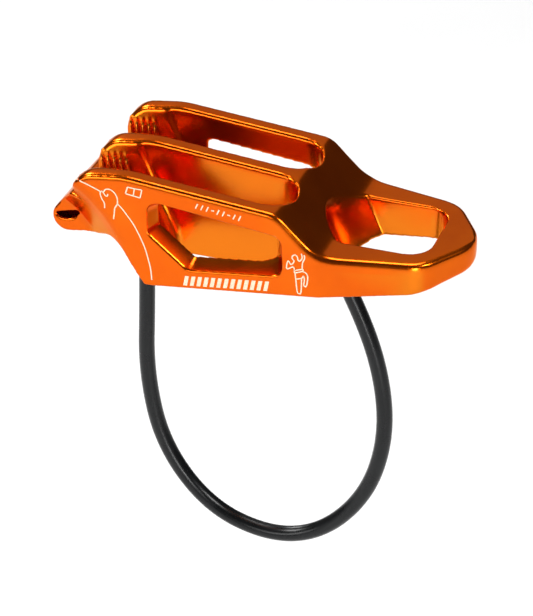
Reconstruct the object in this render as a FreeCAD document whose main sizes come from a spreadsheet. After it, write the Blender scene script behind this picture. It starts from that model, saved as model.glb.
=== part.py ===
# Guide-mode belay device: a forged body with two rope slots, and a keeper cable loop below it.
#
# Frame: +X points from the nose to the anchor eyelet, +Y across the two rope slots, +Z up, away from
# the keeper cable. The origin is the middle of the anchor eyelet, half way through its ring.
import FreeCAD, Part
import math
import os
import Sketcher

V = FreeCAD.Vector

# ---------------------------------------------------------------- driving dimensions, in millimetres
SIZES = {
    # side view of the body
    "half_width": 18.0,
    "ring_top_z": 4.8,
    "ring_end_x": 19.2,
    "ring_end_bottom_z": -1.2,
    "ramp_foot_x": -8.8,
    "shoulder_x": -17.3,
    "shoulder_z": 13.0,
    "peak_x": -50.3,
    "peak_z": 15.9,
    "wall_front_x": -62.2,
    "wall_front_z": 14.3,
    "groove_floor_z": 6.5,
    "nose_brow_x": -64.6,
    "nose_corner_x": -75.3,
    "nose_corner_z": -6.75,
    "arch_front_x": -60.8,
    "arch_front_z": -4.4,
    "arch_top_x": -52.9,
    "arch_top_z": 0.8,
    "arch_foot_x": -46.0,
    "bottom_z": -8.8,
    "bottom_knee_x": -44.0,
    # roundings of the side view
    "ramp_foot_radius": 9.0,
    "shoulder_radius": 5.0,
    "peak_radius": 12.0,
    "wall_front_radius": 6.0,
    "nose_radius": 3.3,
    "nose_brow_radius": 3.0,
    "arch_front_radius": 8.0,
    "arch_top_radius": 4.0,
    "edge_radius": 0.6,
    # keel under the middle wall, and the round post that holds the cable's front end
    "keel_half": 1.9,
    "keel_z": -9.6,
    "keel_rear_x": -24.0,
    "keel_end_x": -14.5,
    "keel_root_z": -3.0,
    "post_radius": 5.0,
    "post_height": 11.5,
    # plan view of the eyelet ring
    "taper_start_x": -8.5,
    "ring_corner_x": 12.2,
    "ring_corner_y": 13.8,
    "ring_tip_half": 2.8,
    "ring_corner_radius": 8.0,
    "ring_tip_radius": 9.0,
    "trim_end_x": 29.0,
    "trim_side_y": 28.0,
    # hollowed sides of the nose, turned about a crosswise axis
    "cheek_x": -74.0,
    "cheek_z": -9.5,
    "cheek_rim": 27.0,
    "cheek_curve_radius": 5.0,
    "cheek_turn": 40.0,
    "nose_half_width": 8.0,
    # rope slots and friction grooves
    "slot_inner": 1.9,
    "slot_width": 12.3,
    "slot_rear_x": -16.5,
    "slot_front_bottom_x": -44.4,
    "slot_front_top_x": -55.2,
    "slot_rear_radius": 6.0,
    "slot_front_radius": 3.0,
    "groove_inner": 2.5,
    "groove_width": 11.1,
    "groove_rear_x": -46.0,
    # friction ribs
    "rib_first_x": -60.3,
    "rib_pitch": 1.4,
    "rib_half": 0.45,
    "rib_height": 0.6,
    "rib_root": 0.3,
    "rib_tall": 6.2,
    "rib_sink": 1.0,
    "rib_lean": 0.15,
    # side windows
    "window_front_x": -45.3,
    "window_front_low_z": 3.7,
    "window_front_high_z": 10.2,
    "window_top_front_x": -42.6,
    "window_top_front_z": 11.0,
    "window_top_rear_x": -16.2,
    "window_top_rear_z": 8.1,
    "window_rear_x": -15.9,
    "window_rear_low_z": -0.9,
    "window_sill_front_x": -36.5,
    "window_sill_front_z": -3.5,
    "window_radius": 2.4,
    "window_draft": 22.0,
    "window_depth": 5.0,
    # anchor eyelet
    "eyelet_half": 9.9,
    "eyelet_end_x": 11.6,
    "eyelet_start_x": -2.5,
    "eyelet_corner_radius": 5.0,
    "eyelet_lean": 0.436,
    "eyelet_arc_radius": 14.5,
    "eyelet_arc_x": -8.8,
    "eyelet_lap": 6.0,
    # release slot across the nose
    "release_front_x": -70.2,
    "release_rear_x": -64.2,
    "release_top_front_z": -1.5,
    "release_top_rear_z": 0.1,
    "release_depth": 1.8,
    # keeper cable and its sockets
    "cable_diameter": 3.5,
    "wire_diameter": 2.0,
    "front_exit_x": -52.6,
    "front_exit_z": -9.6,
    "rear_exit_x": -11.4,
    "rear_exit_z": -4.9,
    "rear_lean": 28.5,
    "bore_start": 3.0,
    "mouth_diameter": 4.4,
    "mouth_depth": 1.0,
    "sleeve_diameter": 3.8,
    "sleeve_length": 5.0,
    "sleeve_chamfer": 0.4,
}

doc = FreeCAD.newDocument("belay_device")
sheet = doc.addObject("Spreadsheet::Sheet", "Sizes")
for row, (alias, size) in enumerate(SIZES.items(), start=1):
    sheet.set(f"A{row}", alias)
    sheet.set(f"B{row}", str(size))
    sheet.setAlias(f"B{row}", alias)
doc.recompute()


def bound(alias):
    """The sheet's value and the expression for an alias; a leading minus mirrors it."""
    if alias.startswith("-"):
        return -sheet.get(alias[1:]), f"-Sizes.{alias[1:]}"
    return sheet.get(alias), f"Sizes.{alias}"


def size(alias):
    return sheet.get(alias)


# ---------------------------------------------------------------- helpers for bodies and sketches
def new_body(label):
    body = doc.addObject("PartDesign::Body", label)
    body.Label = label
    return body


def new_sketch(body, name, role, offset=None):
    """An empty sketch on one of the body's own origin planes, moved by offset in the plane's axes."""
    sketch = body.newObject("Sketcher::SketchObject", name)
    planes = [feature for feature in body.Origin.OriginFeatures if feature.Role == role]
    sketch.AttachmentSupport = (planes[0], [""])
    sketch.MapMode = "FlatFace"
    if offset is not None:
        sketch.AttachmentOffset = FreeCAD.Placement(offset, FreeCAD.Rotation())
    return sketch


def add_outline(sketch, corners):
    """A closed outline of straight lines whose corners are pairs of sheet aliases."""
    points = [V(bound(across)[0], bound(up)[0], 0) for across, up in corners]
    first = sketch.GeometryCount
    count = len(points)
    for index in range(count):
        sketch.addGeometry(Part.LineSegment(points[index], points[(index + 1) % count]))
    for index in range(count):
        following = first + (index + 1) % count
        sketch.addConstraint(Sketcher.Constraint("Coincident", first + index, 2, following, 1))
    for index, (across, up) in enumerate(corners):
        for kind, alias in (("DistanceX", across), ("DistanceY", up)):
            number, expression = bound(alias)
            place = sketch.addConstraint(Sketcher.Constraint(kind, -1, 1, first + index, 1, number))
            sketch.setExpression(f"Constraints[{place}]", expression)


def add_rounded(sketch, corners):
    """A closed outline with tangent arcs; a corner is (across, up, radius alias or None)."""
    points = [V(across, up, 0) for across, up, radius in corners]
    count = len(points)
    starts = []
    ends = []
    arcs = {}
    for index, point in enumerate(points):
        radius = corners[index][2]
        if radius is None:
            starts.append(point)
            ends.append(point)
            continue
        back = (points[index - 1] - point).normalize()
        ahead = (points[(index + 1) % count] - point).normalize()
        half = back.getAngle(ahead) / 2
        inward = (back + ahead).normalize()
        reach = size(radius) / math.tan(half)
        centre = point + inward * (size(radius) / math.sin(half))
        starts.append(point + back * reach)
        ends.append(point + ahead * reach)
        arcs[index] = Part.Arc(starts[-1], centre - inward * size(radius), ends[-1])
    for index in range(count):
        if index in arcs:
            arc = sketch.addGeometry(arcs[index])
            place = sketch.addConstraint(Sketcher.Constraint("Radius", arc, size(corners[index][2])))
            sketch.setExpression(f"Constraints[{place}]", f"Sizes.{corners[index][2]}")
        sketch.addGeometry(Part.LineSegment(ends[index], starts[(index + 1) % count]))


def add_circle(sketch, diameter):
    """A circle on the sketch's own origin with a diameter from the sheet."""
    ring = sketch.addGeometry(Part.Circle(V(0, 0, 0), V(0, 0, 1), size(diameter) / 2))
    sketch.addConstraint(Sketcher.Constraint("Coincident", ring, 3, -1, 1))
    place = sketch.addConstraint(Sketcher.Constraint("Diameter", ring, size(diameter)))
    sketch.setExpression(f"Constraints[{place}]", f"Sizes.{diameter}")


def add_feature(body, kind, name, sketch, length=None):
    feature = body.newObject(f"PartDesign::{kind}", name)
    feature.Profile = sketch
    if length is not None:
        feature.setExpression("Length", length)
    doc.recompute()
    return feature


def add_mirror(body, name, feature):
    """The feature again on the other side of the middle plane, Y = 0."""
    mirror = body.newObject("PartDesign::Mirrored", name)
    planes = [plane for plane in body.Origin.OriginFeatures if plane.Role == "XZ_Plane"]
    mirror.Originals = [feature]
    mirror.MirrorPlane = (planes[0], [""])
    body.Tip = mirror
    doc.recompute()
    return mirror


def add_rounding(body, name, base, wanted, radius):
    """A fillet on every edge of base for which wanted(edge) is true."""
    edges = [f"Edge{number}" for number, edge in enumerate(base.Shape.Edges, start=1) if wanted(edge)]
    fillet = body.newObject("PartDesign::Fillet", name)
    fillet.Base = (base, edges)
    fillet.setExpression("Radius", f"Sizes.{radius}")
    body.Tip = fillet
    doc.recompute()
    return fillet


def middle(edge):
    return edge.valueAt((edge.FirstParameter + edge.LastParameter) / 2)


def runs_along(edge, axis):
    """Whether a straight edge is parallel to an axis."""
    ends = edge.Vertexes
    if len(ends) != 2 or edge.Curve.TypeId != "Part::GeomLine":
        return False
    way = (ends[1].Point - ends[0].Point).normalize()
    return abs(way.dot(axis)) > 0.999


def near(number, target, room=0.05):
    return abs(number - target) < room


ALONG_Y = V(0, 1, 0)
ALONG_Z = V(0, 0, 1)
FULL_TURN = 360
# how far a cutting sketch stands off the solid, and the length that takes a cut right through it
CLEAR = 5.0
THROUGH = f"Sizes.peak_z - Sizes.keel_z + {3 * CLEAR}"
RIBS_PER_FACE = 5
# the share of its shorter run that each bend of the cable takes
REACH = 0.45
FRONT_EXIT = V(size("front_exit_x"), 0, size("front_exit_z"))
FRONT_AXIS = V(0, 0, 1)
REAR_LEAN = math.radians(size("rear_lean"))
REAR_EXIT = V(size("rear_exit_x"), 0, size("rear_exit_z"))
REAR_AXIS = V(-math.sin(REAR_LEAN), 0, math.cos(REAR_LEAN))


# ---------------------------------------------------------------- body: the forging
def make_side_view(body):
    sketch = new_sketch(body, "side_view", "XZ_Plane")
    add_outline(sketch, [
        ("ring_end_x", "ring_end_bottom_z"),
        ("ring_end_x", "ring_top_z"),
        ("ramp_foot_x", "ring_top_z"),
        ("shoulder_x", "shoulder_z"),
        ("peak_x", "peak_z"),
        ("wall_front_x", "wall_front_z"),
        ("wall_front_x", "groove_floor_z"),
        ("nose_brow_x", "groove_floor_z"),
        ("nose_corner_x", "nose_corner_z"),
        ("arch_front_x", "arch_front_z"),
        ("arch_top_x", "arch_top_z"),
        ("arch_foot_x", "bottom_z"),
        ("bottom_knee_x", "bottom_z"),
    ])
    pad = add_feature(body, "Pad", "side_block", sketch, "2 * Sizes.half_width")
    pad.SideType = "Symmetric"
    doc.recompute()
    return pad


def round_side_view(body, base):
    corners = [
        ("ramp_foot", "ramp_foot_x", "ring_top_z", "ramp_foot_radius"),
        ("shoulder", "shoulder_x", "shoulder_z", "shoulder_radius"),
        ("peak", "peak_x", "peak_z", "peak_radius"),
        ("wall_front", "wall_front_x", "wall_front_z", "wall_front_radius"),
        ("nose_tip", "nose_corner_x", "nose_corner_z", "nose_radius"),
        ("nose_brow", "nose_brow_x", "groove_floor_z", "nose_brow_radius"),
        ("arch_front", "arch_front_x", "arch_front_z", "arch_front_radius"),
        ("arch_top", "arch_top_x", "arch_top_z", "arch_top_radius"),
    ]
    for name, across, up, radius in corners:
        def at_corner(edge):
            place = middle(edge)
            return runs_along(edge, ALONG_Y) and near(place.x, size(across)) and near(place.z, size(up))
        base = add_rounding(body, f"{name}_rounding", base, at_corner, radius)
    return base


def make_post(body):
    """The round post under the nose, centred on the cable's front end."""
    place = V(size("front_exit_x"), 0, size("keel_z"))
    sketch = new_sketch(body, "post_plan", "XY_Plane", place)
    ring = sketch.addGeometry(Part.Circle(V(0, 0, 0), V(0, 0, 1), size("post_radius")))
    sketch.addConstraint(Sketcher.Constraint("Coincident", ring, 3, -1, 1))
    radius = sketch.addConstraint(Sketcher.Constraint("Radius", ring, size("post_radius")))
    sketch.setExpression(f"Constraints[{radius}]", "Sizes.post_radius")
    return add_feature(body, "Pad", "front_post", sketch, "Sizes.post_height")


def make_keel(body):
    """The middle wall's lower part, which runs back from the post and slopes up into the block."""
    sketch = new_sketch(body, "keel_side", "XZ_Plane")
    add_outline(sketch, [
        ("front_exit_x", "keel_z"),
        ("keel_rear_x", "keel_z"),
        ("keel_end_x", "keel_root_z"),
        ("front_exit_x", "keel_root_z"),
    ])
    pad = add_feature(body, "Pad", "keel", sketch, "2 * Sizes.keel_half")
    pad.SideType = "Symmetric"
    doc.recompute()
    return pad


def trim_ring(body):
    """The ring tapers in plan from the full width to its blunt round end."""
    sketch = new_sketch(body, "ring_plan", "XY_Plane", V(0, 0, size("peak_z") + CLEAR))
    add_outline(sketch, [
        ("taper_start_x", "half_width"),
        ("ring_corner_x", "ring_corner_y"),
        ("ring_end_x", "ring_tip_half"),
        ("trim_end_x", "ring_tip_half"),
        ("trim_end_x", "trim_side_y"),
        ("taper_start_x", "trim_side_y"),
    ])
    pocket = add_feature(body, "Pocket", "ring_taper", sketch, THROUGH)
    mirror = add_mirror(body, "ring_taper_pair", pocket)

    def at_ring_corner(edge):
        place = middle(edge)
        return (runs_along(edge, ALONG_Z) and near(place.x, size("ring_corner_x"))
                and near(abs(place.y), size("ring_corner_y")))

    def at_ring_tip(edge):
        place = middle(edge)
        return (runs_along(edge, ALONG_Z) and near(place.x, size("ring_end_x"))
                and near(abs(place.y), size("ring_tip_half")))

    rounded = add_rounding(body, "ring_corners", mirror, at_ring_corner, "ring_corner_radius")
    return add_rounding(body, "ring_tip", rounded, at_ring_tip, "ring_tip_radius")


def round_outer_edges(body, base):
    """The outline edges of both side faces, along the top, round the ring's end and underneath."""
    def on_outside(edge):
        place = middle(edge)
        if runs_along(edge, ALONG_Z) or (runs_along(edge, ALONG_Y) and place.x < size("ring_end_x") - 0.1):
            return False
        on_top = place.z > size("ring_top_z") - 2 and place.x > size("wall_front_x")
        on_bottom = place.z < 0 and place.x > size("bottom_knee_x")
        on_side = near(abs(place.y), size("half_width"))
        on_taper = place.x > size("taper_start_x")
        return (on_top or on_bottom) and (on_side or on_taper)
    return add_rounding(body, "outer_edges", base, on_outside, "edge_radius")


def cheek_points():
    """The turned hollow's profile in its own plane: radius across, half width up."""
    turn = math.radians(size("cheek_turn"))
    bend = size("cheek_curve_radius")
    across = bend * math.sin(turn)
    up = bend * (1 - math.cos(turn))
    rise = size("half_width") - size("nose_half_width")
    slope = (rise - 2 * up) / math.sin(turn)
    end = V(size("cheek_rim"), size("half_width"), 0)
    high_start = end - V(across, up, 0)
    low_end = high_start - V(slope * math.cos(turn), slope * math.sin(turn), 0)
    start = low_end - V(across, up, 0)
    half_bend = V(bend * math.sin(turn / 2), bend * (1 - math.cos(turn / 2)), 0)
    return start, start + half_bend, low_end, high_start, end - half_bend, end


def hollow_cheeks(body):
    """Each side of the nose is hollowed by an S-shaped profile turned about a crosswise axis."""
    place = V(size("cheek_x"), 0, size("cheek_z"))
    sketch = new_sketch(body, "cheek_profile", "XY_Plane", place)
    start, low_middle, low_end, high_start, high_middle, end = cheek_points()
    clear = size("half_width") + CLEAR
    axis_low = V(0, size("nose_half_width"), 0)
    axis_high = V(0, clear, 0)
    rim_high = V(end.x, clear, 0)
    sketch.addGeometry(Part.LineSegment(axis_low, start))
    sketch.addGeometry(Part.Arc(start, low_middle, low_end))
    sketch.addGeometry(Part.LineSegment(low_end, high_start))
    sketch.addGeometry(Part.Arc(high_start, high_middle, end))
    sketch.addGeometry(Part.LineSegment(end, rim_high))
    sketch.addGeometry(Part.LineSegment(rim_high, axis_high))
    sketch.addGeometry(Part.LineSegment(axis_high, axis_low))
    groove = body.newObject("PartDesign::Groove", "cheek")
    groove.Profile = sketch
    groove.ReferenceAxis = (sketch, ["V_Axis"])
    groove.Angle = FULL_TURN
    doc.recompute()
    return add_mirror(body, "cheek_pair", groove)


def cut_slots(body):
    """Two rope slots: an upright cut with a round rear end and a leaning cut with the front wall."""
    inner = size("slot_inner")
    outer = inner + size("slot_width")
    rise = size("peak_z") - size("bottom_z")
    lean = (size("slot_front_top_x") - size("slot_front_bottom_x")) / rise
    top = size("peak_z") + CLEAR
    upright = new_sketch(body, "slot_rear_plan", "XY_Plane", V(0, 0, top))
    add_rounded(upright, [
        (size("slot_front_bottom_x"), inner, None),
        (size("slot_rear_x"), inner, "slot_rear_radius"),
        (size("slot_rear_x"), outer, "slot_rear_radius"),
        (size("slot_front_bottom_x"), outer, None),
    ])
    slot = add_feature(body, "Pocket", "rope_slot_rear", upright, THROUGH)
    add_mirror(body, "rope_slot_rear_pair", slot)
    front_top_x = size("slot_front_bottom_x") + lean * (top - size("bottom_z"))
    leaning = new_sketch(body, "slot_front_plan", "XY_Plane", V(0, 0, top))
    add_rounded(leaning, [
        (front_top_x, inner, "slot_front_radius"),
        (size("slot_front_bottom_x"), inner, None),
        (size("slot_front_bottom_x"), outer, None),
        (front_top_x, outer, "slot_front_radius"),
    ])
    front = add_feature(body, "Pocket", "rope_slot_front", leaning, THROUGH)
    front.UseCustomVector = True
    front.Direction = V(-lean, 0, -1)
    doc.recompute()
    return add_mirror(body, "rope_slot_front_pair", front)


def cut_grooves(body):
    """The friction grooves: the front of each slot, open above the groove floor."""
    top = size("peak_z") + CLEAR
    sketch = new_sketch(body, "groove_plan", "XY_Plane", V(0, 0, top))
    inner = size("groove_inner")
    outer = inner + size("groove_width")
    front = size("nose_corner_x")
    add_rounded(sketch, [
        (front, inner, None),
        (size("groove_rear_x"), inner, None),
        (size("groove_rear_x"), outer, None),
        (front, outer, None),
    ])
    depth = f"Sizes.peak_z + {CLEAR} - Sizes.groove_floor_z"
    groove = add_feature(body, "Pocket", "friction_groove", sketch, depth)
    return add_mirror(body, "friction_grooves", groove)


def add_ribs(body):
    """Leaning ribs on each of the four wall faces beside the friction grooves."""
    floor = size("groove_floor_z") - size("rib_sink")
    sketch = new_sketch(body, "rib_plan", "XY_Plane", V(0, 0, floor))
    inner = size("groove_inner")
    outer = inner + size("groove_width")
    for wall, inward in ((inner, 1), (outer, -1), (-inner, -1), (-outer, 1)):
        for number in range(RIBS_PER_FACE):
            middle_x = size("rib_first_x") + number * size("rib_pitch")
            root = wall - inward * size("rib_root")
            crest = wall + inward * size("rib_height")
            add_rounded(sketch, [
                (middle_x - size("rib_half"), root, None),
                (middle_x + size("rib_half"), root, None),
                (middle_x, crest, None),
            ])
    ribs = add_feature(body, "Pad", "ribs", sketch, "Sizes.rib_tall + Sizes.rib_sink")
    ribs.UseCustomVector = True
    ribs.Direction = V(-size("rib_lean"), 0, 1)
    doc.recompute()
    return ribs


def cut_windows(body):
    """A six-sided window through each outer wall, narrowing inwards all round."""
    sketch = new_sketch(body, "window_side", "XZ_Plane", V(0, 0, -size("half_width")))
    add_rounded(sketch, [
        (size("window_front_x"), size("window_front_low_z"), "window_radius"),
        (size("window_front_x"), size("window_front_high_z"), "window_radius"),
        (size("window_top_front_x"), size("window_top_front_z"), "window_radius"),
        (size("window_top_rear_x"), size("window_top_rear_z"), "window_radius"),
        (size("window_rear_x"), size("window_rear_low_z"), "window_radius"),
        (size("window_sill_front_x"), size("window_sill_front_z"), "window_radius"),
    ])
    window = add_feature(body, "Pocket", "window", sketch, "Sizes.window_depth")
    window.Reversed = True
    window.setExpression("TaperAngle", "-Sizes.window_draft")
    doc.recompute()
    return add_mirror(body, "windows", window)


def cut_eyelet(body):
    """The anchor eyelet: an upright opening whose end nearest the slots leans towards them."""
    top = size("peak_z") + CLEAR
    side = size("eyelet_half")
    upright = new_sketch(body, "eyelet_plan", "XY_Plane", V(0, 0, top))
    add_rounded(upright, [
        (size("eyelet_start_x"), -side, None),
        (size("eyelet_end_x"), -side, "eyelet_corner_radius"),
        (size("eyelet_end_x"), side, "eyelet_corner_radius"),
        (size("eyelet_start_x"), side, None),
    ])
    add_feature(body, "Pocket", "eyelet", upright, THROUGH)
    leaning = new_sketch(body, "eyelet_lean_plan", "XY_Plane", V(0, 0, top))
    bulge = size("eyelet_arc_radius")
    crown = size("eyelet_arc_x") - size("eyelet_lean") * top
    rim = crown + bulge - math.sqrt(bulge ** 2 - side ** 2)
    back = rim + size("eyelet_lap")
    leaning.addGeometry(Part.Arc(V(rim, -side, 0), V(crown, 0, 0), V(rim, side, 0)))
    leaning.addGeometry(Part.LineSegment(V(rim, side, 0), V(back, side, 0)))
    leaning.addGeometry(Part.LineSegment(V(back, side, 0), V(back, -side, 0)))
    leaning.addGeometry(Part.LineSegment(V(back, -side, 0), V(rim, -side, 0)))
    cut = add_feature(body, "Pocket", "eyelet_lean", leaning, THROUGH)
    cut.UseCustomVector = True
    cut.Direction = V(size("eyelet_lean"), 0, -1)
    doc.recompute()
    return cut


def cut_release(body):
    """A D-shaped slot across the nose, to lever the loaded device free."""
    sketch = new_sketch(body, "release_side", "XZ_Plane")
    front = V(size("release_front_x"), size("release_top_front_z"), 0)
    rear = V(size("release_rear_x"), size("release_top_rear_z"), 0)
    low = (front + rear) / 2 - V(0, size("release_depth"), 0)
    sketch.addGeometry(Part.LineSegment(front, rear))
    sketch.addGeometry(Part.Arc(rear, low, front))
    release = add_feature(body, "Pocket", "release_slot", sketch, "4 * Sizes.half_width")
    release.SideType = "Symmetric"
    doc.recompute()
    return release


def cut_bore(body, name, place, axis, diameter, length):
    """A blind bore upwards along axis, from a circle centred at place."""
    sketch = new_sketch(body, f"{name}_circle", "XY_Plane", place)
    add_circle(sketch, diameter)
    bore = add_feature(body, "Pocket", name, sketch, length)
    bore.UseCustomVector = True
    bore.Direction = axis
    doc.recompute()


def cut_sockets(body):
    """Each end of the keeper cable has a mouth in the underside and a narrower socket above it."""
    for name, place, axis in (("front", FRONT_EXIT, FRONT_AXIS), ("rear", REAR_EXIT, REAR_AXIS)):
        below = place - axis * (size("bore_start") / axis.z)
        mouth = "Sizes.bore_start + Sizes.mouth_depth"
        cut_bore(body, f"{name}_mouth", below, axis, "mouth_diameter", mouth)
        cut_bore(body, f"{name}_socket", below, axis, "sleeve_diameter", mouth + " + Sizes.sleeve_length")


# ---------------------------------------------------------------- keeper cable
def keeper_route():
    """The corners of the loop's route, from the front exit down and round to the rear exit."""
    turns = [
        (-52.8, -23.5),
        (-53.6, -42.5),
        (-50.0, -61.1),
        (-39.1, -75.3),
        (-24.5, -79.7),
        (-12.4, -75.6),
        (-2.6, -63.5),
        (1.5, -48.0),
        (0.2, -31.9),
        (-5.3, -16.1),
    ]
    return [FRONT_EXIT] + [V(across, 0, up) for across, up in turns] + [REAR_EXIT]


def route_wire(route):
    """Straight runs joined by tangent arcs, each arc as large as its two runs allow."""
    edges = []
    start = route[0]
    for before, corner, after in zip(route, route[1:], route[2:]):
        back = (before - corner).normalize()
        ahead = (after - corner).normalize()
        half = back.getAngle(ahead) / 2
        reach = REACH * min(before.distanceToPoint(corner), after.distanceToPoint(corner))
        radius = reach * math.tan(half)
        centre = corner + (back + ahead).normalize() * (radius / math.sin(half))
        middle_point = centre - (back + ahead).normalize() * radius
        print(f"bend radius {radius:.1f} mm at {corner.x:.1f}, {corner.z:.1f}")
        edges.append(Part.LineSegment(start, corner + back * reach).toShape())
        edges.append(Part.Arc(corner + back * reach, middle_point, corner + ahead * reach).toShape())
        start = corner + ahead * reach
    edges.append(Part.LineSegment(start, route[-1]).toShape())
    return Part.Wire(edges)


def sweep_round(name, line, diameter):
    """A round rod along the whole line, its diameter bound to the sheet."""
    path = line.Shape
    first = path.Edges[0]
    way = first.tangentAt(first.FirstParameter)
    section = doc.addObject("Part::Circle", f"{name}_section")
    section.Placement = FreeCAD.Placement(path.Vertexes[0].Point, FreeCAD.Rotation(ALONG_Z, way))
    section.setExpression("Radius", f"Sizes.{diameter} / 2")
    sweep = doc.addObject("Part::Sweep", name)
    sweep.Sections = [section]
    sweep.Spine = (line, [f"Edge{number}" for number in range(1, len(path.Edges) + 1)])
    sweep.Solid = True
    doc.recompute()
    return sweep


def make_keeper():
    """The steel wire and the plastic sheath round it, each swept along the same route."""
    line = doc.addObject("Part::Feature", "keeper_line")
    line.Shape = route_wire(keeper_route())
    wire = sweep_round("keeper_wire", line, "wire_diameter")
    rod = sweep_round("keeper_rod", line, "cable_diameter")
    sheath = doc.addObject("Part::Cut", "keeper_sheath")
    sheath.Base = rod
    sheath.Tool = wire
    doc.recompute()
    for piece in (wire, sheath):
        piece.Label = piece.Name
    length = line.Shape.Length
    section = math.pi * (size("cable_diameter") / 2) ** 2
    print(f"keeper length {length:.1f} mm")
    print(f"swept volume {rod.Shape.Volume:.0f}, section times length {section * length:.0f} mm3")
    return [wire, sheath]


def make_sleeve(label, place, axis):
    """A crimp sleeve pressed into its socket: a plug with a rounded lower end."""
    sleeve = new_body(label)
    sketch = new_sketch(sleeve, f"{label}_circle", "XY_Plane")
    add_circle(sketch, "sleeve_diameter")
    pad = add_feature(sleeve, "Pad", f"{label}_plug", sketch, "Sizes.sleeve_length")
    chamfer = sleeve.newObject("PartDesign::Chamfer", f"{label}_lead_in")
    lower = [f"Edge{number}" for number, edge in enumerate(pad.Shape.Edges, start=1)
             if near(middle(edge).z, 0) and edge.Curve.TypeId == "Part::GeomCircle"]
    chamfer.Base = (pad, lower)
    chamfer.setExpression("Size", "Sizes.sleeve_chamfer")
    sleeve.Tip = chamfer
    turn = FreeCAD.Rotation(V(0, 0, 1), axis)
    sleeve.Placement = FreeCAD.Placement(place + axis * size("mouth_depth"), turn)
    doc.recompute()
    return sleeve


def make_forging():
    """The whole body, step by step, from the side view to the cable sockets."""
    body = new_body("body")
    make_side_view(body)
    make_post(body)
    make_keel(body)
    ring = trim_ring(body)
    rounded = round_side_view(body, ring)
    round_outer_edges(body, rounded)
    hollow_cheeks(body)
    cut_slots(body)
    cut_grooves(body)
    add_ribs(body)
    cut_windows(body)
    cut_eyelet(body)
    cut_release(body)
    cut_sockets(body)
    return body


def verify(pieces):
    """Stops before anything is written if a feature failed or a piece is not a sound solid."""
    failed = [thing.Name for thing in doc.Objects if {"Invalid", "Error"} & set(thing.State)]
    unsound = [piece.Label for piece in pieces if piece.Shape.isNull() or not piece.Shape.isValid()]
    if failed or unsound:
        raise RuntimeError(f"failed features: {failed}; unsound pieces: {unsound}")


pieces = [make_forging()] + make_keeper()
pieces.append(make_sleeve("front_crimp_sleeve", FRONT_EXIT, FRONT_AXIS))
pieces.append(make_sleeve("rear_crimp_sleeve", REAR_EXIT, REAR_AXIS))
verify(pieces)
os.makedirs("parts", exist_ok=True)
for piece in pieces:
    print(f"{piece.Label}: {piece.Shape.Volume / 1000:.2f} cm3, {len(piece.Shape.Solids)} solid")
    piece.Shape.exportStep(f"parts/{piece.Label}.step")
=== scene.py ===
import math

import bmesh
import bpy
import numpy as np
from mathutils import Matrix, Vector
from mathutils.bvhtree import BVHTree


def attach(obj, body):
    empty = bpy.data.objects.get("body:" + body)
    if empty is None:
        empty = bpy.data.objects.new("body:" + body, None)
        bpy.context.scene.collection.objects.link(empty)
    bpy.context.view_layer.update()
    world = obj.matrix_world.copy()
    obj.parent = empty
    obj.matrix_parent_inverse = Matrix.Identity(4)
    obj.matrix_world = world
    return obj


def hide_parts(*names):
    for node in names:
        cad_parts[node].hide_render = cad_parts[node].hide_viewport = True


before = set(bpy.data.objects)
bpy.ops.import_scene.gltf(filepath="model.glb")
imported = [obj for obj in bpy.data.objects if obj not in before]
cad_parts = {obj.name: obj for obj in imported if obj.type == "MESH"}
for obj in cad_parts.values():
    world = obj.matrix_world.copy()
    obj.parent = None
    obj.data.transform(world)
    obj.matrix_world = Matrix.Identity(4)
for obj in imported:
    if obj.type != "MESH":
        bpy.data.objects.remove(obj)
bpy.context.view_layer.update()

MM = 0.001


# ---------------------------------------------------------------- camera
def make_camera():
    """A long lens from above and in front, a little towards the eyelet end."""
    azimuth = math.radians(19.555)
    elevation = math.radians(31.552)
    distance = 569.6 * MM
    aim = Vector((-22.01, -10.33, -13.86)) * MM
    away = Vector((
        math.sin(azimuth) * math.cos(elevation),
        -math.cos(azimuth) * math.cos(elevation),
        math.sin(elevation),
    ))
    data = bpy.data.cameras.new("camera")
    data.lens = 160.97
    data.sensor_width = 36
    data.clip_start = 0.01
    data.clip_end = 20
    camera = bpy.data.objects.new("camera", data)
    camera.location = aim + away * distance
    camera.rotation_euler = away.to_track_quat("Z", "Y").to_euler()
    bpy.context.scene.collection.objects.link(camera)
    bpy.context.scene.camera = camera


make_camera()

# ---------------------------------------------------------------- node helpers for materials
def new_material(name):
    """A node material with its Principled shader, both returned."""
    material = bpy.data.materials.new(name)
    material.use_nodes = True
    shader = next(node for node in material.node_tree.nodes if node.type == "BSDF_PRINCIPLED")
    return material, shader


def add_node(material, kind, **values):
    node = material.node_tree.nodes.new(kind)
    for key, value in values.items():
        setattr(node, key, value)
    return node


def connect(material, source, target):
    material.node_tree.links.new(source, target)


def add_noise(material, scale, detail=4.0, roughness=0.55):
    """A noise in the object's own coordinates, in metres."""
    coordinates = add_node(material, "ShaderNodeTexCoord")
    noise = add_node(material, "ShaderNodeTexNoise")
    noise.inputs["Scale"].default_value = scale
    noise.inputs["Detail"].default_value = detail
    noise.inputs["Roughness"].default_value = roughness
    connect(material, coordinates.outputs["Object"], noise.inputs["Vector"])
    return noise.outputs["Fac"]


def add_ramp(material, factor, stops):
    """A colour ramp over factor; each stop is (position, colour)."""
    ramp = add_node(material, "ShaderNodeValToRGB")
    elements = ramp.color_ramp.elements
    while len(elements) < len(stops):
        elements.new(0.5)
    for element, (position, colour) in zip(elements, stops):
        element.position = position
        element.color = (*colour, 1)
    connect(material, factor, ramp.inputs["Fac"])
    return ramp.outputs["Color"]


def add_range(material, factor, low, high, from_low=0.0, from_high=1.0):
    spread = add_node(material, "ShaderNodeMapRange")
    spread.inputs["From Min"].default_value = from_low
    spread.inputs["From Max"].default_value = from_high
    spread.inputs["To Min"].default_value = low
    spread.inputs["To Max"].default_value = high
    connect(material, factor, spread.inputs["Value"])
    return spread.outputs["Result"]


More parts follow.
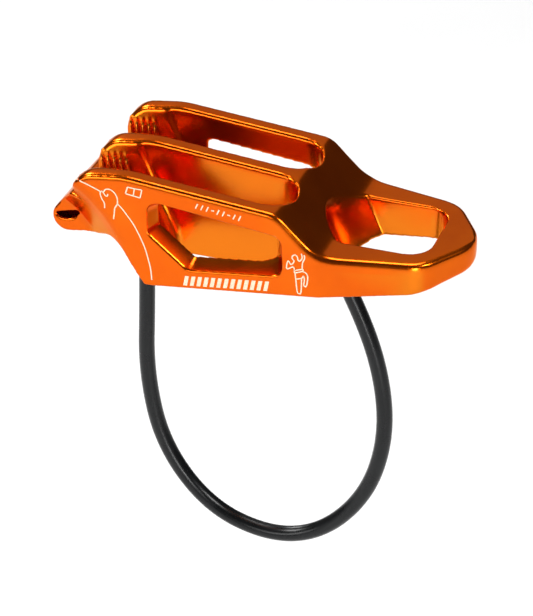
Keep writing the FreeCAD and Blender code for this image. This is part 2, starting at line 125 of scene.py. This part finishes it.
def add_bump(material, shader, height, strength, distance):
    bump = add_node(material, "ShaderNodeBump")
    bump.inputs["Strength"].default_value = strength
    bump.inputs["Distance"].default_value = distance
    connect(material, height, bump.inputs["Height"])
    connect(material, bump.outputs["Normal"], shader.inputs["Normal"])


# ---------------------------------------------------------------- materials
def make_anodised():
    """Orange anodising over forged aluminium: glossy, faintly clouded, with a painted pale highlight on
    sharp edges and a painted yellower tint in the recesses against repeated reflection.
    """
    material, shader = new_material("anodised_orange")
    cloud = add_noise(material, 90, detail=3)
    orange = add_ramp(material, cloud, [
        (0.30, (0.70, 0.098, 0.0008)),
        (0.55, (0.75, 0.112, 0.0010)),
        (0.75, (0.80, 0.130, 0.0014)),
    ])
    # painted tint: the slots and the eyelet get a yellower orange that offsets the reddening of repeated
    # reflection
    recess = add_node(material, "ShaderNodeAttribute", attribute_name="recess")
    reflection_offset_tint = add_node(material, "ShaderNodeMix", data_type="RGBA")
    reflection_offset_tint.inputs["B"].default_value = (0.70, 0.160, 0.004, 1)
    connect(material, recess.outputs["Fac"], reflection_offset_tint.inputs["Factor"])
    connect(material, orange, reflection_offset_tint.inputs["A"])
    geometry = add_node(material, "ShaderNodeNewGeometry")
    # painted highlight: sharp convex edges are turned pale orange, as if lit
    painted_edge_highlight = add_range(material, geometry.outputs["Pointiness"], 0.0, 0.30, 0.54, 0.62)
    mix = add_node(material, "ShaderNodeMix", data_type="RGBA")
    mix.inputs["B"].default_value = (1.0, 0.42, 0.10, 1)
    connect(material, painted_edge_highlight, mix.inputs["Factor"])
    connect(material, reflection_offset_tint.outputs["Result"], mix.inputs["A"])
    connect(material, mix.outputs["Result"], shader.inputs["Base Color"])
    shader.inputs["Metallic"].default_value = 1.0
    shader.inputs["Specular Tint"].default_value = (1.0, 0.62, 0.35, 1)
    shader.inputs["Coat Weight"].default_value = 0.12
    shader.inputs["Coat Roughness"].default_value = 0.12
    grain = add_noise(material, 1600, detail=2)
    connect(material, add_range(material, cloud, 0.16, 0.28), shader.inputs["Roughness"])
    add_bump(material, shader, grain, 0.05, 0.00004)
    return material


def make_sheath_plastic():
    """Black extruded plastic, glossy, with faint lengthwise unevenness."""
    material, shader = new_material("sheath_black")
    patch = add_noise(material, 260, detail=3)
    black = add_ramp(material, patch, [
        (0.3, (0.0020, 0.0024, 0.0028)),
        (0.7, (0.0050, 0.0056, 0.0062)),
    ])
    connect(material, black, shader.inputs["Base Color"])
    shader.inputs["Specular IOR Level"].default_value = 0.28
    connect(material, add_range(material, patch, 0.20, 0.36), shader.inputs["Roughness"])
    add_bump(material, shader, add_noise(material, 1200, detail=2), 0.10, 0.00005)
    return material


def make_bare_metal(name, low, high, roughness):
    """Uncoated metal with a fine drawn grain."""
    material, shader = new_material(name)
    patch = add_noise(material, 700, detail=4)
    connect(material, add_ramp(material, patch, [(0.3, low), (0.7, high)]), shader.inputs["Base Color"])
    shader.inputs["Metallic"].default_value = 1.0
    connect(material, add_range(material, patch, roughness, roughness + 0.15), shader.inputs["Roughness"])
    add_bump(material, shader, patch, 0.15, 0.00005)
    return material


def make_print():
    """Pale cream ink, slightly uneven."""
    material, shader = new_material("print_cream")
    patch = add_noise(material, 2500, detail=2)
    cream = add_ramp(material, patch, [(0.3, (0.86, 0.62, 0.42)), (0.7, (0.95, 0.76, 0.56))])
    connect(material, cream, shader.inputs["Base Color"])
    connect(material, add_range(material, patch, 0.35, 0.5), shader.inputs["Roughness"])
    return material


def make_floor_material():
    material, shader = new_material("floor_paper")
    patch = add_noise(material, 6, detail=3)
    pale = add_ramp(material, patch, [(0.3, (0.90, 0.90, 0.90)), (0.7, (0.94, 0.94, 0.94))])
    connect(material, pale, shader.inputs["Base Color"])
    connect(material, add_range(material, patch, 0.7, 0.9), shader.inputs["Roughness"])
    return material


# ---------------------------------------------------------------- keeper cable
CABLE_DIAMETER = 3.5 * MM
WIRE_DIAMETER = 2.0 * MM
FRONT_EXIT = (-52.6, -9.6)
REAR_EXIT = (-11.4, -4.9)
KEEPER_ROUTE = [
    FRONT_EXIT,
    (-52.8, -23.5),
    (-53.6, -42.5),
    (-50.0, -61.1),
    (-39.1, -75.3),
    (-24.5, -79.7),
    (-12.4, -75.6),
    (-2.6, -63.5),
    (1.5, -48.0),
    (0.2, -31.9),
    (-5.3, -16.1),
    REAR_EXIT,
]


def make_cable(name, diameter, material):
    """A round cable on one smooth spline along the keeper's route."""
    data = bpy.data.curves.new(name, "CURVE")
    data.dimensions = "3D"
    data.resolution_u = 16
    data.bevel_depth = diameter / 2
    data.bevel_resolution = 10
    data.use_fill_caps = True
    spline = data.splines.new("NURBS")
    spline.points.add(len(KEEPER_ROUTE) - 1)
    for point, (across, up) in zip(spline.points, KEEPER_ROUTE):
        point.co = (across * MM, 0, up * MM, 1)
    spline.order_u = 3
    spline.use_endpoint_u = True
    cable = bpy.data.objects.new(name, data)
    cable.data.materials.append(material)
    bpy.context.scene.collection.objects.link(cable)
    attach(cable, "keeper")
    return cable


def spline_length(cable):
    """The length of the cable's own line, without its thickness."""
    line = cable.copy()
    line.data = cable.data.copy()
    line.data.bevel_depth = 0
    mesh = bpy.data.meshes.new_from_object(line)
    points = [vertex.co.copy() for vertex in mesh.vertices]
    bpy.data.objects.remove(line)
    bpy.data.meshes.remove(mesh)
    return sum((after - before).length for before, after in zip(points, points[1:]))


def make_keeper():
    sheath = make_cable("keeper_cable_sheath", CABLE_DIAMETER, make_sheath_plastic())
    steel = make_bare_metal("steel_strand", (0.42, 0.42, 0.43), (0.62, 0.62, 0.63), 0.25)
    wire = make_cable("keeper_cable_wire", WIRE_DIAMETER, steel)
    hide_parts("keeper_sheath")
    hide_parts("keeper_wire")
    spline_length(sheath)


make_keeper()


# ---------------------------------------------------------------- body
def applied(obj):
    """Replaces the object's mesh with its modifiers' result."""
    graph = bpy.context.evaluated_depsgraph_get()
    mesh = bpy.data.meshes.new_from_object(obj.evaluated_get(graph))
    obj.modifiers.clear()
    obj.data = mesh


# Places and sizes of the forging, in millimetres, as the CAD has them.
TOP_X = [-62.2, -50.3, -17.3, -8.8, 19.2]
TOP_Z = [14.3, 15.9, 13.0, 4.8, 4.8]
PLAN_X = [-8.5, 12.2, 19.2]
PLAN_HALF = [18.0, 13.8, 2.8]
GROOVE_INNER = 2.5
GROOVE_OUTER = 13.6
RIBS_PER_FACE = 5
RIB_FIRST_X = -60.3
RIB_PITCH = 1.4
RIB_LEAN = 0.15

# The ribs' own form over the skin, in millimetres.
RIB_HALF = 0.42
RIB_HEIGHT = 0.95
RIB_SUNK = 0.1
RIB_ROOT_Z = 5.5
RIB_FOOT_Z = 6.2
RIB_HEAD_Z = 11.5
RIB_BELOW_TOP = 2.3
RIB_RUN_OUT = 0.2
RIB_RUN_OUT_DEPTH = 0.8
RIB_ROWS = 7
RIB_TURNS = 8

VOXEL = 0.26
FEWER_FACES = 0.36


def fade(value, low, high):
    """0 below low, 1 above high, straight between."""
    return np.clip((value - low) / (high - low), 0, 1)


def top_line(x):
    """Height of the forging's top profile in millimetres."""
    return np.interp(x, TOP_X, TOP_Z)


def ring_half(x):
    """Half width of the forging's plan in millimetres."""
    return np.interp(x, PLAN_X, PLAN_HALF)


def rib_zone(x, y, z):
    """1 over the friction ribs."""
    beside = np.minimum(abs(abs(y) - GROOVE_INNER), abs(abs(y) - GROOVE_OUTER))
    along = fade(x, -62.4, -61.6) * (1 - fade(x, -53.6, -52.8))
    return along * (1 - fade(beside, 0.9, 1.3)) * fade(z, 5.5, 6.0)


def wall_top_zone(x, y, z):
    """1 along the tops of the three walls."""
    high = fade(z - top_line(x), -2.6, -1.2)
    return high * (1 - fade(x, -19.0, -15.0))


def ring_edge_zone(x, y, z):
    """1 along the ring's and the ramp's upper outer edge."""
    beside = fade(abs(y) - ring_half(x), -2.6, -1.6)
    return fade(x, -19.0, -14.0) * beside * fade(z - top_line(x), -2.8, -1.8)


def ring_foot_zone(x, y, z):
    """1 along the lower edge of the ring's end."""
    return fade(x, 10.0, 15.0) * (1 - fade(z, 1.5, 3.0))


def recess_zone(x, y, z):
    """1 inside the slots and the eyelet, where the orange is painted yellower to offset the reddening of
    repeated reflection.
    """
    inner = 1 - fade(abs(y), 14.4, 15.4)
    below = 1 - fade(z - top_line(x), -2.4, -0.8)
    return inner * below * (1 - fade(x, 11.6, 12.6)) * fade(x, -62.4, -61.0)


def everywhere(x, y, z):
    """1 at every point."""
    return np.ones_like(x)


def soften(body, name, zone, reach):
    """Smooths the skin over reach millimetres by zone(x, y, z), which goes from 0 to 1."""
    places = np.empty(len(body.data.vertices) * 3)
    body.data.vertices.foreach_get("co", places)
    x, y, z = (places.reshape(-1, 3) / MM).T
    levels = np.round(zone(x, y, z) * 10).astype(int)
    group = body.vertex_groups.new(name=name)
    for level in range(1, 11):
        group.add(np.nonzero(levels == level)[0].tolist(), level / 10, "REPLACE")
    smooth = body.modifiers.new(name, "SMOOTH")
    smooth.factor = 0.5
    smooth.iterations = max(2, round(4 * (reach / VOXEL) ** 2))
    smooth.vertex_group = name
    applied(body)
    body.vertex_groups.clear()


def add_rib(ribs, rib_x, wall, inward):
    """A leaning half-round bar on a wall face, running out into the wall at its head."""
    head_z = min(RIB_HEAD_Z, top_line(rib_x) - RIB_BELOW_TOP)
    rows = []
    for step in range(RIB_ROWS + 1):
        share = step / RIB_ROWS
        height = RIB_FOOT_Z + (head_z - RIB_FOOT_Z) * share
        run_out = RIB_RUN_OUT_DEPTH * max(0.0, share - (1 - RIB_RUN_OUT)) / RIB_RUN_OUT
        middle_x = rib_x - RIB_LEAN * (height - RIB_ROOT_Z)
        row = []
        for turn in range(RIB_TURNS + 1):
            angle = math.pi * turn / RIB_TURNS
            x = middle_x - RIB_HALF * math.cos(angle)
            y = wall + inward * (RIB_HEIGHT * math.sin(angle) - RIB_SUNK - run_out)
            row.append(ribs.verts.new((x * MM, y * MM, height * MM)))
        rows.append(row)
    for lower, upper in zip(rows, rows[1:]):
        for column in range(RIB_TURNS):
            ribs.faces.new((lower[column], lower[column + 1], upper[column + 1], upper[column]))


def make_ribs():
    """The friction ribs as clean bars over the softened skin."""
    ribs = bmesh.new()
    faces = ((GROOVE_INNER, 1), (GROOVE_OUTER, -1), (-GROOVE_INNER, -1), (-GROOVE_OUTER, 1))
    for wall, inward in faces:
        for number in range(RIBS_PER_FACE):
            add_rib(ribs, RIB_FIRST_X + number * RIB_PITCH, wall, inward)
    bmesh.ops.recalc_face_normals(ribs, faces=ribs.faces)
    mesh = bpy.data.meshes.new("friction_ribs")
    ribs.to_mesh(mesh)
    ribs.free()
    return mesh


def mark_recesses(body):
    """Gives the mesh the attribute that its material reads for the insides."""
    places = np.empty(len(body.data.vertices) * 3)
    body.data.vertices.foreach_get("co", places)
    recess = body.data.attributes.new("recess", "FLOAT", "POINT")
    recess.data.foreach_set("value", recess_zone(*(places.reshape(-1, 3) / MM).T))


def make_body():
    """The forging: the CAD solid with its edges rounded as forging and polishing leave them."""
    body = bpy.data.objects.new("forged_body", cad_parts["body"].data.copy())
    bpy.context.scene.collection.objects.link(body)
    remesh = body.modifiers.new("remesh", "REMESH")
    remesh.mode = "VOXEL"
    remesh.voxel_size = VOXEL * MM
    applied(body)
    soften(body, "all_edges", everywhere, 0.38)
    soften(body, "rib_ground", rib_zone, 0.8)
    soften(body, "wall_tops", wall_top_zone, 0.95)
    soften(body, "ring_edge", ring_edge_zone, 1.15)
    soften(body, "ring_foot", ring_foot_zone, 1.5)
    fewer = body.modifiers.new("fewer", "DECIMATE")
    fewer.ratio = FEWER_FACES
    applied(body)
    skin = bmesh.new()
    skin.from_mesh(body.data)
    skin.from_mesh(make_ribs())
    skin.to_mesh(body.data)
    skin.free()
    mark_recesses(body)
    body.data.materials.clear()
    body.data.materials.append(make_anodised())
    for polygon in body.data.polygons:
        polygon.use_smooth = True
    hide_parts("body")
    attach(body, "device")
    return body


forged_body = make_body()


# ---------------------------------------------------------------- printed marks
LINE_WIDTH = 0.27
MARK_LIFT = 0.04 * MM
TICK_PITCH = 1.15
TICK_DROP = 0.135
BAR_COUNT = 13
BAR_PITCH = 1.45
BAR_RISE = 0.185

# Points along each line, across and up on the near side face, in millimetres.
MARK_LINES = [
    # the rope, in front of and behind the hand
    [(-60.6, 13.3), (-58.6, 12.9), (-56.9, 12.3), (-55.1, 11.6)],
    [(-51.4, 9.4), (-50.4, 8.4), (-49.3, 7.0), (-48.2, 5.5), (-47.3, 3.9), (-46.4, 2.0), (-45.6, 0.0),
     (-45.0, -2.3), (-44.5, -4.6), (-44.3, -7.2)],
    # the hand round the rope
    [(-54.3, 7.8), (-54.3, 9.0), (-54.8, 9.9), (-55.1, 10.8), (-55.1, 11.4), (-54.6, 11.8)],
    [(-54.8, 11.7), (-54.4, 11.4), (-54.0, 10.8), (-53.6, 10.8), (-53.5, 11.3)],
    [(-54.4, 11.6), (-54.0, 12.2), (-53.5, 12.4), (-52.9, 12.4), (-52.2, 12.0), (-51.7, 11.4),
     (-51.4, 10.5), (-51.4, 9.8), (-51.5, 9.2), (-52.0, 8.3), (-52.2, 7.0), (-52.4, 5.6)],
    # the open book
    [(-49.1, 13.7), (-49.6, 12.1)],
    [(-49.6, 12.1), (-47.9, 11.9)],
    [(-47.9, 11.9), (-46.4, 11.7)],
    [(-46.4, 11.7), (-46.0, 13.6)],
    [(-46.0, 13.6), (-47.6, 13.6)],
    [(-47.6, 13.6), (-49.1, 13.7)],
    [(-47.6, 13.6), (-47.9, 11.9)],
    # the climber
    [(-13.4, 3.5), (-13.8, 3.9), (-13.8, 4.4), (-13.4, 4.8), (-13.0, 4.8), (-12.7, 4.4), (-12.6, 3.9),
     (-12.3, 3.6), (-11.9, 4.0), (-11.7, 4.6), (-11.9, 5.4)],
    [(-11.3, 5.2), (-11.2, 4.4), (-11.6, 3.3), (-11.7, 1.9)],
    [(-13.4, 3.5), (-13.6, 2.9), (-14.1, 2.5), (-14.6, 3.2), (-14.9, 2.6), (-14.9, 1.3), (-13.6, 2.0),
     (-13.3, 1.2)],
    [(-13.3, 1.2), (-11.7, 1.8), (-11.6, 1.4), (-13.2, 0.7), (-13.3, 1.2)],
    [(-13.2, 0.7), (-13.0, -1.0), (-12.7, -3.6), (-12.3, -4.0), (-11.9, -3.6), (-11.8, -0.4)],
    [(-11.6, 1.3), (-10.9, 1.1), (-10.5, 0.3), (-10.6, -1.2), (-10.9, -2.1), (-11.3, -1.8), (-11.2, -0.6),
     (-11.4, 0.3), (-11.8, -0.3), (-12.9, -0.7)],
]


def make_row_of_ticks():
    """Short strokes in three groups, with a dash between the groups."""
    strokes = []
    for place, kind in enumerate("///-//-//"):
        x = -34.2 + place * TICK_PITCH
        z = 12.1 - place * TICK_DROP
        if kind == "-":
            strokes.append([(x - 0.3, z), (x + 0.3, z - 0.03)])
        else:
            strokes.append([(x - 0.25, z - 0.6), (x + 0.25, z + 0.55)])
    return strokes


def make_bars():
    """Slanted bars in a row: corners of each, low front first."""
    bars = []
    for place in range(BAR_COUNT):
        x = -37.4 + place * BAR_PITCH
        low = -7.1 + place * BAR_RISE
        bars.append([(x, low), (x + 0.85, low + 0.1), (x + 1.3, low + 2.4), (x + 0.45, low + 2.3)])
    return bars


def rounded_line(points):
    """The polyline with three points put on each stretch of a smooth curve through its corners."""
    ends = [points[0]] + list(points) + [points[-1]]
    line = []
    for before, start, end, after in zip(ends, ends[1:], ends[2:], ends[3:]):
        for share in (0.0, 0.25, 0.5, 0.75):
            line.append(tuple(
                0.5 * (2 * s + (e - b) * share + (2 * b - 5 * s + 4 * e - a) * share ** 2
                       + (3 * s - b - 3 * e + a) * share ** 3)
                for b, s, e, a in zip(before, start, end, after)
            ))
    line.append(tuple(points[-1]))
    return line


def make_marks(body):
    """Pale print on the near side face, laid on the skin."""
    shape = bmesh.new()
    tree = BVHTree.FromObject(body, bpy.context.evaluated_depsgraph_get())

    def on_skin(across, up):
        start = Vector((across * MM, -30 * MM, up * MM))
        hit = tree.ray_cast(start, Vector((0, 1, 0)))[0]
        depth = hit.y if hit else -18 * MM
        return shape.verts.new((start.x, depth - MARK_LIFT, start.z))

    for points in MARK_LINES + make_row_of_ticks():
        line = [Vector(point) for point in rounded_line(points)]
        edges = []
        for place, point in enumerate(line):
            way = (line[min(place + 1, len(line) - 1)] - line[max(place - 1, 0)]).normalized()
            side = Vector((-way.y, way.x)) * (LINE_WIDTH / 2)
            edges.append((on_skin(*(point + side)), on_skin(*(point - side))))
        for (left, right), (next_left, next_right) in zip(edges, edges[1:]):
            shape.faces.new((left, right, next_right, next_left))
    for low_front, low_rear, high_rear, high_front in make_bars():
        rungs = []
        for share in (0.0, 0.25, 0.5, 0.75, 1.0):
            front = Vector(low_front).lerp(Vector(high_front), share)
            rear = Vector(low_rear).lerp(Vector(high_rear), share)
            rungs.append((on_skin(*front), on_skin(*rear)))
        for (front, rear), (next_front, next_rear) in zip(rungs, rungs[1:]):
            shape.faces.new((front, rear, next_rear, next_front))
    bmesh.ops.recalc_face_normals(shape, faces=shape.faces)
    mesh = bpy.data.meshes.new("printed_marks")
    shape.to_mesh(mesh)
    shape.free()
    marks = bpy.data.objects.new("printed_marks", mesh)
    marks.data.materials.append(make_print())
    bpy.context.scene.collection.objects.link(marks)
    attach(marks, "device")


make_marks(forged_body)


def dress_sleeves():
    bare = make_bare_metal("crimped_aluminium", (0.60, 0.60, 0.62), (0.78, 0.78, 0.80), 0.3)
    for name in ("front_crimp_sleeve", "rear_crimp_sleeve"):
        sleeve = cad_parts[name]
        sleeve.data.materials.clear()
        sleeve.data.materials.append(bare)


dress_sleeves()


# ---------------------------------------------------------------- floor and light
def make_floor():
    size = 3.0
    mesh = bpy.data.meshes.new("floor")
    corners = [(-size, -size, 0), (size, -size, 0), (size, size, 0), (-size, size, 0)]
    mesh.from_pydata(corners, [], [(0, 1, 2, 3)])
    floor = bpy.data.objects.new("floor", mesh)
    floor.location = (0, 0, -0.30)
    floor.data.materials.append(make_floor_material())
    bpy.context.scene.collection.objects.link(floor)


def add_light(name, place, aim, size, power, size_y=None):
    data = bpy.data.lights.new(name, "AREA")
    data.energy = power
    data.shape = "RECTANGLE"
    data.size = size
    data.size_y = size_y or size
    light = bpy.data.objects.new(name, data)
    light.location = place
    light.rotation_euler = (Vector(place) - Vector(aim)).to_track_quat("Z", "Y").to_euler()
    bpy.context.scene.collection.objects.link(light)


def make_lights():
    middle = (-0.025, 0, 0)
    add_light("front_softbox", (-0.52, -0.92, 0.20), middle, 0.75, 4.5, 0.30)
    add_light("right_softbox", (0.62, -0.95, -0.05), middle, 0.22, 4.5, 0.40)
    add_light("overhead", (-0.1, 0.30, 1.2), middle, 0.5, 6)
    add_light("back_panel", (-0.45, 1.15, 0.75), middle, 1.1, 1.6)
    for place in ((-1.6, -0.4, 1.6), (1.6, -0.4, 1.6), (-2.0, 1.8, 1.5)):
        add_light("floor_wash", place, (0, 0.4, -0.3), 0.6, 26)
    world = bpy.data.worlds.new("studio")
    bpy.context.scene.world = world
    world.use_nodes = True
    background = next(node for node in world.node_tree.nodes if node.type == "BACKGROUND")
    background.inputs["Color"].default_value = (1, 1, 1, 1)
    background.inputs["Strength"].default_value = 0.07
    bpy.context.scene.view_settings.view_transform = "Standard"


make_floor()
make_lights()
